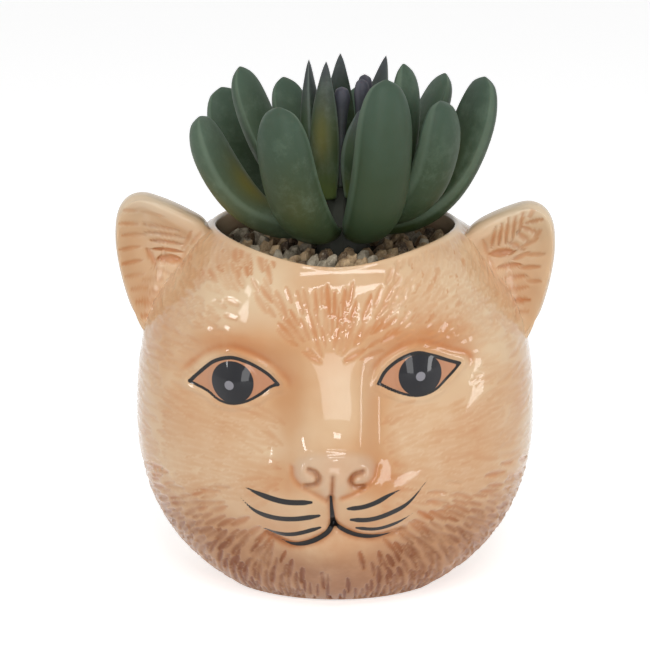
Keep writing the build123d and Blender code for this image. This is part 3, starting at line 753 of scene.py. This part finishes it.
# The washed and painted clay under its glaze. The coat is thinner over the brown ruff, and gently rippled.
PAINT_EDGE = 0.08
CREAM = linear(233, 206, 169)
ORANGE = linear(210, 154, 104)
RUFF_BROWN = linear(198, 146, 106)
COOL = linear(218, 200, 178)
glaze, tree, shader = new_material("glazed_clay")
mottle = cloud(tree, 120.0, 4.0, 0.6)
patches = cloud(tree, 38.0, 3.0, 0.55)
brown_share = painted(tree, "ruff")
wash_share = joined(tree, painted(tree, "wash"), scaled(tree, joined(tree, patches, 0.5, "SUBTRACT"), 1.4))
base = mixed(tree, masked(tree, wash_share, 0.0, 1.0), CREAM, ORANGE)
base = mixed(tree, scaled(tree, brown_share, 0.75), base, RUFF_BROWN)
base = mixed(tree, scaled(tree, painted(tree, "pale"), 0.55), base, COOL)
stain_share = scaled(tree, painted(tree, "stain"), masked(tree, mottle, 0.05, 0.72))
stain_colour = mixed(tree, brown_share, linear(200, 126, 70), linear(140, 82, 44))
base = mixed(tree, stain_share, base, stain_colour)
PAINTS = {
    "eye_white": mixed(tree, patches, linear(206, 160, 124), linear(190, 122, 84)),
    "iris": linear(14, 14, 21),
    "pupil": linear(140, 138, 145),
    "ink": linear(18, 15, 14),
}
for layer, paint in PAINTS.items():
    base = mixed(tree, masked(tree, painted(tree, layer), -PAINT_EDGE, PAINT_EDGE), base, paint)
feed(tree, shader, {
    "Base Color": base, "Roughness": 0.45, "Specular IOR Level": 0.12,
    "Coat Weight": joined(tree, scaled(tree, brown_share, -0.5), 1.0),
    "Coat IOR": 1.36, "Coat Roughness": 0.04,
    "Normal": bumped(tree, cloud(tree, 110.0, 3.0, 0.5), 0.22, 0.001),
})
pot.data.materials.append(glaze)
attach(pot, "root")
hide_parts("pot_shell")


# The leaves. Soft plastic mouldings, matt green with bluish grey tips, boat-shaped in section with a thin
# edge, each plugged by its peg into the core, and a painted highlight along the edges. The inner ones are
# tipped with purple grey, and the heart is three purple-grey buds.
FOAM_TOP = 75.5
ROSETTE_X = 2.0
ROSETTE_Y = 1.0
STONE_HEIGHT = 3.6
CORE_RADIUS = 6.5
CORE_TOP_RADIUS = 3.6
CORE_HEIGHT = 17.0
LEAF_GAP = 0.2
LEAF_REACH = 34.0
LEAF_RISE = 42.0
TIP_START = 0.86
TIP_ROUND = 0.03

# How wide each kind of leaf is along its length, in shares, and each tier: the full width and thickness, the
# point that the leaves sweep towards, in shares of reach and rise, and each leaf's bearing, seat, reach, rise
# and twist
BROAD = [(0.0, 0.36), (0.12, 0.6), (0.28, 0.88), (0.48, 1.0), (0.68, 0.99), (0.84, 0.93), (0.93, 0.74),
         (0.98, 0.46), (1.0, 0.2)]
BLUNT = [(0.0, 0.42), (0.14, 0.66), (0.3, 0.88), (0.5, 1.0), (0.7, 0.99), (0.85, 0.92), (0.94, 0.7),
         (1.0, 0.22)]
BUD = [(0.0, 0.42), (0.3, 0.52), (0.62, 0.62), (0.78, 0.84), (0.89, 1.0), (0.97, 0.72), (1.0, 0.25)]
POINTED = [(0.0, 0.55), (0.16, 0.74), (0.36, 0.95), (0.56, 1.0), (0.76, 0.78), (0.92, 0.36), (1.0, 0.05)]
LEAVES = {
    "leaf_outer": ((13.6, 8.6), (0.76, 0.02), BROAD, [
        (5, 0.21, 0.95, 0.97, -25), (52, 0.21, 0.79, 0.68), (100, 0.21, 0.79, 0.66),
        (148, 0.21, 1.02, 0.86, 25), (197, 0.21, 0.99, 0.79, 32), (244, 0.21, 0.91, 0.9),
        (292, 0.21, 0.74, 1.03), (328, 0.5, 0.75, 0.89)]),
    "leaf_middle": ((10.4, 7.0), (0.46, 0.06), BLUNT, [
        (28, 0.62, 0.78, 0.96), (77, 0.62, 0.56, 0.88), (125, 0.62, 0.76, 0.91), (173, 0.62, 0.71, 1.02, 30),
        (340, 0.7, 0.42, 1.06)]),
    "leaf_inner": ((7.6, 5.2), (0.22, 0.21), POINTED, [
        (162, 0.8, 0.25, 1.06), (230, 0.76, 0.18, 1.07), (296, 0.78, 0.25, 0.82), (103, 0.84, 0.12, 1.09),
        (49, 0.8, 0.43, 1.06)]),
    "leaf_heart": ((3.8, 3.8), (0.12, 0.27), BUD, [
        (262, 0.94, 0.09, 0.93), (332, 0.92, 0.13, 0.97), (30, 0.96, 0.16, 0.98)]),
}


def leaf_points(place, size, sweep, stations):
    """Rings along a curved line, each a boat, round outside and dished inside, with a narrow edge each side.
    The line is the parabola that leaves the core towards the sweep's point and arrives at the tip from it.
    A fifth number in the place twists the leaf towards its tip, in degrees."""
    azimuth, seat_share, reach_share, rise_share, *twist = place
    width, thickness = size
    outward = np.array([cos(radians(azimuth)), sin(radians(azimuth)), 0])
    across = np.array([-outward[1], outward[0], 0])
    seat = STONE_HEIGHT + seat_share * (CORE_HEIGHT - STONE_HEIGHT)
    core_radius = CORE_RADIUS + seat / CORE_HEIGHT * (CORE_TOP_RADIUS - CORE_RADIUS)
    axis = np.array([ROSETTE_X, ROSETTE_Y, FOAM_TOP])
    mouth = axis + outward * core_radius + np.array([0, 0, seat])
    turn_point = axis + outward * sweep[0] * LEAF_REACH + np.array([0, 0, seat + sweep[1] * LEAF_RISE])
    tip = axis + outward * reach_share * LEAF_REACH + np.array([0, 0, rise_share * LEAF_RISE])
    lean = (turn_point - mouth)[2] / np.linalg.norm(turn_point - mouth)
    root = mouth + outward * (LEAF_GAP + 0.32 * stations[0][1] * thickness * max(lean, 0))
    near_tip = 1 - (1 - TIP_START) * (1 - np.linspace(0, 1, 12)[1:]) ** 1.6
    where = np.concatenate([np.linspace(0, TIP_START, 26), near_tip])
    share = curve_through(stations, 200)
    size_at = np.interp(where, share[:, 0], share[:, 1])
    into_round = np.clip((where - (1 - TIP_ROUND)) / TIP_ROUND, 0, 1)
    size_at *= np.sqrt(np.clip(1 - into_round**2, 0.001, 1))
    t = where[:, None]
    middle = (1 - t) ** 2 * root + 2 * t * (1 - t) * turn_point + t**2 * tip
    along = 2 * (1 - t) * (turn_point - root) + 2 * t * (tip - turn_point)
    out = np.cross(across, along / np.linalg.norm(along, axis=1, keepdims=True))
    twist_at = radians(twist[0] if twist else 0.0) * smooth_step(where, 0.1, 0.75)[:, None]
    twisted = across * np.cos(twist_at) + out * np.sin(twist_at)
    out = out * np.cos(twist_at) - across * np.sin(twist_at)
    turn = np.linspace(0, 2 * pi, 44, endpoint=False)
    side, lift = np.cos(turn), np.sin(turn)
    flat = np.sign(side) * np.abs(side) ** 0.86
    height = np.where(lift > 0, 0.63 * np.abs(lift) ** 1.05 - 0.08, 0.24 * -np.abs(lift) ** 0.9 - 0.08)
    offset_across = flat[None, :, None] * (size_at * width / 2)[:, None, None] * twisted[:, None]
    offset_out = height[None, :, None] * (size_at * thickness)[:, None, None] * out[:, None]
    length_share, beside = np.meshgrid(where, flat, indexing="ij")
    return middle[:, None] + offset_across + offset_out, length_share, beside


def leaf_material(name, low, middle, tip, glow, seed):
    """Green at the root to grey at the tip, with bloom, faint mottling and a painted highlight along the
    edges.
    """
    material, tree, shader = new_material(name)
    length, edge = painted(tree, "length"), painted(tree, "edge")
    mottle = cloud(tree, 90.0 + seed, 3.0, 0.55)
    drift = joined(tree, length, scaled(tree, joined(tree, mottle, 0.5, "SUBTRACT"), 0.35))
    colour = mixed(tree, masked(tree, drift, 0.02, 0.45), low, middle)
    colour = mixed(tree, masked(tree, drift, 0.62, 1.02), colour, tip)
    # Painted highlight: the narrow edge on each side of the leaf is mixed towards the pale colour.
    colour = mixed(tree, scaled(tree, masked(tree, edge, 0.95, 1.0), 0.45), colour, glow)
    bloom = scaled(tree, masked(tree, cloud(tree, 160.0, 6.0, 0.7), 0.45, 0.8), 0.4)
    bloom = joined(tree, bloom, painted(tree, "bloom"))
    colour = mixed(tree, bloom, colour, glow)
    colour = mixed(tree, painted(tree, "ochre"), colour, linear(122, 112, 44))
    rough = node(tree, "ShaderNodeMapRange", {"Value": mottle, "To Min": 0.42, "To Max": 0.62})
    feed(tree, shader, {
        "Base Color": colour, "Roughness": rough.outputs["Result"], "Specular IOR Level": 0.25,
        "Subsurface Weight": 0.08, "Subsurface Scale": 0.002,
        "Normal": bumped(tree, cloud(tree, 700.0, 3.0, 0.6), 0.25, 0.0003),
    })
    return material


# The last colour of each is the pale bloom, and it also gives the painted highlight along the leaf's edges.
green = leaf_material(
    "leaf_green", linear(64, 78, 42), linear(50, 66, 42), linear(64, 83, 68), linear(110, 128, 108), 0)
tipped = leaf_material(
    "leaf_tipped", linear(92, 106, 56), linear(56, 72, 48), linear(64, 68, 72), linear(118, 130, 120), 9)
purple = leaf_material(
    "leaf_purple", linear(54, 60, 48), linear(62, 66, 66), linear(70, 70, 80), linear(104, 104, 112), 4)

# Leaves with more or less of the pale bloom, and leaves with an ochre patch
BLOOMED = {"leaf_outer_5": 0.3, "leaf_middle_4": 0.1, "leaf_outer_7": -0.35}
YELLOWED = {"leaf_outer_5": 0.8, "leaf_outer_6": 0.15, "leaf_inner_2": 0.5, "leaf_outer_1": 0.25}
LEAF_FINISH = {"leaf_outer": (green, "leaf_green"), "leaf_middle": (green, "leaf_green"),
               "leaf_inner": (tipped, "leaf_tipped"), "leaf_heart": (purple, "leaf_purple")}
for tier, (size, sweep, stations, places) in LEAVES.items():
    material, slot = LEAF_FINISH[tier]
    for number, place in enumerate(places, 1):
        name = f"{tier}_{number}"
        points, length, beside = leaf_points(place, size, sweep, stations)
        ochre = YELLOWED.get(name, 0.0) * bump(beside, length, 0.15, 0.56, 0.42, 0.13)
        leaf = surface(name + "_moulding", [points[:, ::-1]], {
            "length": [length.ravel(), [0.0, 1.0]],
            "edge": [np.abs(beside).ravel(), [0.0, 0.0]],
            "ochre": [ochre.ravel(), [0.0, 0.0]],
            "bloom": [np.full(length.size, BLOOMED.get(name, 0.0)), [0.0, 0.0]],
        })
        leaf.data.materials.append(material)
        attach(leaf, "root")
        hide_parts(f"{tier}_{number}")


# The core and the foam keep their CAD forms: a dark grey-green moulded stub whose spike is pushed into the
# foam, and a block of dark florist's foam cut to the cavity and glued in.
core_plastic, tree, shader = new_material("core_plastic")
colour = mixed(tree, cloud(tree, 200.0, 3.0), linear(34, 38, 28), linear(48, 50, 38))
feed(tree, shader, {"Base Color": colour, "Roughness": 0.6})
foam, tree, shader = new_material("foam")
colour = mixed(tree, cloud(tree, 900.0, 4.0), linear(64, 54, 42), linear(96, 84, 66))
pores = bumped(tree, cloud(tree, 1400.0, 4.0), 0.8, 0.0006)
feed(tree, shader, {"Base Color": colour, "Roughness": 0.95, "Normal": pores})
for name, material in {"stem_core": core_plastic, "foam_plug": foam}.items():
    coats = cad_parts[name].data.materials
    coats.clear()
    coats.append(material)


# The gravel. Small river stones in tan, grey and dark brown, chipped and worn, poured around the core and
# glued to the top of the foam.
CHIP = 0.0003
STONE_FOOT = (FOAM_TOP + 0.3) / 1000


def stone_material(name, light, dark, seed):
    """Stone with dark seams, pale grains and a dry, uneven face."""
    material, tree, shader = new_material(name)
    veins = cloud(tree, 320.0 + seed, 5.0, 0.7)
    grains = cloud(tree, 1500.0 + seed, 3.0, 0.7)
    colour = mixed(tree, masked(tree, veins, 0.32, 0.66), dark, light)
    pale_grains = scaled(tree, masked(tree, grains, 0.5, 0.75), 0.5)
    colour = mixed(tree, pale_grains, colour, linear(214, 200, 176))
    chips = bumped(tree, veins, 0.9, 0.0008)
    feed(tree, shader, {"Base Color": colour, "Roughness": 0.75, "Normal": chips})
    return material


STONE_COLOURS = {
    "gravel_tan": ("stone_tan", linear(206, 178, 138), linear(132, 102, 72)),
    "gravel_grey": ("stone_grey", linear(190, 178, 156), linear(116, 106, 88)),
    "gravel_brown": ("stone_brown", linear(128, 104, 76), linear(60, 46, 34)),
}
for seed, (name, (slot, light, dark)) in enumerate(STONE_COLOURS.items()):
    pebbles_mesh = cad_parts[name].data.copy()
    corners = np.empty(len(pebbles_mesh.vertices) * 3)
    pebbles_mesh.vertices.foreach_get("co", corners)
    corners = corners.reshape(-1, 3)
    chips = np.sin(corners[:, [1, 2, 0]] * 2900 + seed) + np.sin(corners[:, [2, 0, 1]] * 1300)
    corners += CHIP * chips * smooth_step(corners[:, 2:], STONE_FOOT, STONE_FOOT + 0.001)
    pebbles_mesh.vertices.foreach_set("co", corners.ravel())
    pebbles = placed(name + "_pebbles", pebbles_mesh)
    weld = pebbles.modifiers.new("weld", "WELD")
    weld.merge_threshold = 0.00001
    worn = pebbles.modifiers.new("worn", "BEVEL")
    worn.width, worn.segments, worn.limit_method = 0.0004, 2, "ANGLE"
    pebbles_mesh.polygons.foreach_set("use_smooth", np.ones(len(pebbles_mesh.polygons), bool))
    pebbles_mesh.materials.clear()
    pebbles_mesh.materials.append(stone_material(name + "_stone", light, dark, seed * 7))
    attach(pebbles, "root")
    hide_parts(name)


# Floor, light and camera: a white paper sweep, soft panels as in a small light tent, narrow ones for the
# bright panes that the glaze mirrors, and a long lens from a little above.
SWEEP = 2.5
floor_mesh = bpy.data.meshes.new("floor")
floor_corners = [(-SWEEP, -SWEEP, 0), (SWEEP, -SWEEP, 0), (SWEEP, SWEEP, 0), (-SWEEP, SWEEP, 0)]
floor_mesh.from_pydata(floor_corners, [], [(0, 1, 2, 3)])
sweep = placed("floor", floor_mesh)


def seen(tree):
    """1 for what the camera sees, straight or in a gloss, and 0 for the light that falls on surfaces."""
    path = node(tree, "ShaderNodeLightPath", {})
    straight = joined(tree, path.outputs["Is Camera Ray"], path.outputs["Is Transmission Ray"], "MAXIMUM")
    return joined(tree, straight, path.outputs["Is Glossy Ray"], "MAXIMUM")


paper, tree, shader = new_material("floor_paper")
feed(tree, shader, {"Base Color": (0.93, 0.93, 0.93, 1), "Roughness": 0.9})
glow = node(tree, "ShaderNodeEmission", {"Strength": scaled(tree, seen(tree), 0.62)})
both = node(tree, "ShaderNodeAddShader", {0: shader.outputs[0], 1: glow.outputs[0]})
tree.links.new(both.outputs[0], tree.nodes["Material Output"].inputs["Surface"])
floor_mesh.materials.append(paper)

world = bpy.data.worlds.new("studio")
world.use_nodes = True
bpy.context.scene.world = world
tree = world.node_tree
strength = node(tree, "ShaderNodeMapRange", {"Value": seen(tree), "To Min": 0.295, "To Max": 1.0})
feed(tree, tree.nodes["Background"], {"Color": (1, 1, 1, 1), "Strength": strength.outputs["Result"]})


POT_MIDDLE = Vector((0, 0, 0.05))
CAMERA_AZIMUTH = 1.5
CAMERA_ELEVATION = 14.0
CAMERA_DISTANCE = 0.48
PICTURE_WIDTH = 650 * 0.000234
AIM = Vector((-0.0023, 0.0, 0.0584))


def direction_to(azimuth, elevation):
    """The direction towards a place around the pot: azimuth from the front to its right, and elevation."""
    a, e = radians(azimuth), radians(elevation)
    return Vector((sin(a) * cos(e), -cos(a) * cos(e), sin(e)))


def panel(name, azimuth, elevation, distance, width, height, power):
    """A soft panel that faces the middle of the pot, placed by its direction from there."""
    light = bpy.data.lights.new(name, "AREA")
    light.shape = "RECTANGLE"
    light.size, light.size_y, light.energy = width, height, power
    lamp, toward = placed(name, light), direction_to(azimuth, elevation)
    lamp.location = POT_MIDDLE + toward * distance
    lamp.rotation_euler = toward.to_track_quat("Z", "Y").to_euler()


panel("front_panel", 3, 9, 1.1, 0.42, 0.36, 2.1)
panel("top_panel_low", 8, 53, 0.9, 0.5, 0.05, 1.0)
panel("top_panel_high", 8, 65, 0.9, 0.5, 0.05, 1.0)
panel("right_panel", 66, 8, 0.9, 0.14, 0.34, 1.2)
panel("left_panel", -62, 22, 1.0, 0.08, 0.24, 1.1)
panel("pane_panel", -54, 44, 1.0, 0.1, 0.08, 0.22)
panel("window_panel", 5, 37, 1.0, 0.16, 0.09, 0.7)

back_along = direction_to(CAMERA_AZIMUTH, CAMERA_ELEVATION)
lens = bpy.data.cameras.new("camera")
lens.sensor_width = 36.0
lens.lens = lens.sensor_width * CAMERA_DISTANCE / PICTURE_WIDTH
camera = placed("camera", lens)
camera.location = AIM + back_along * CAMERA_DISTANCE
camera.rotation_euler = back_along.to_track_quat("Z", "Y").to_euler()
bpy.context.scene.camera = camera
bpy.context.scene.view_settings.view_transform = "Standard"
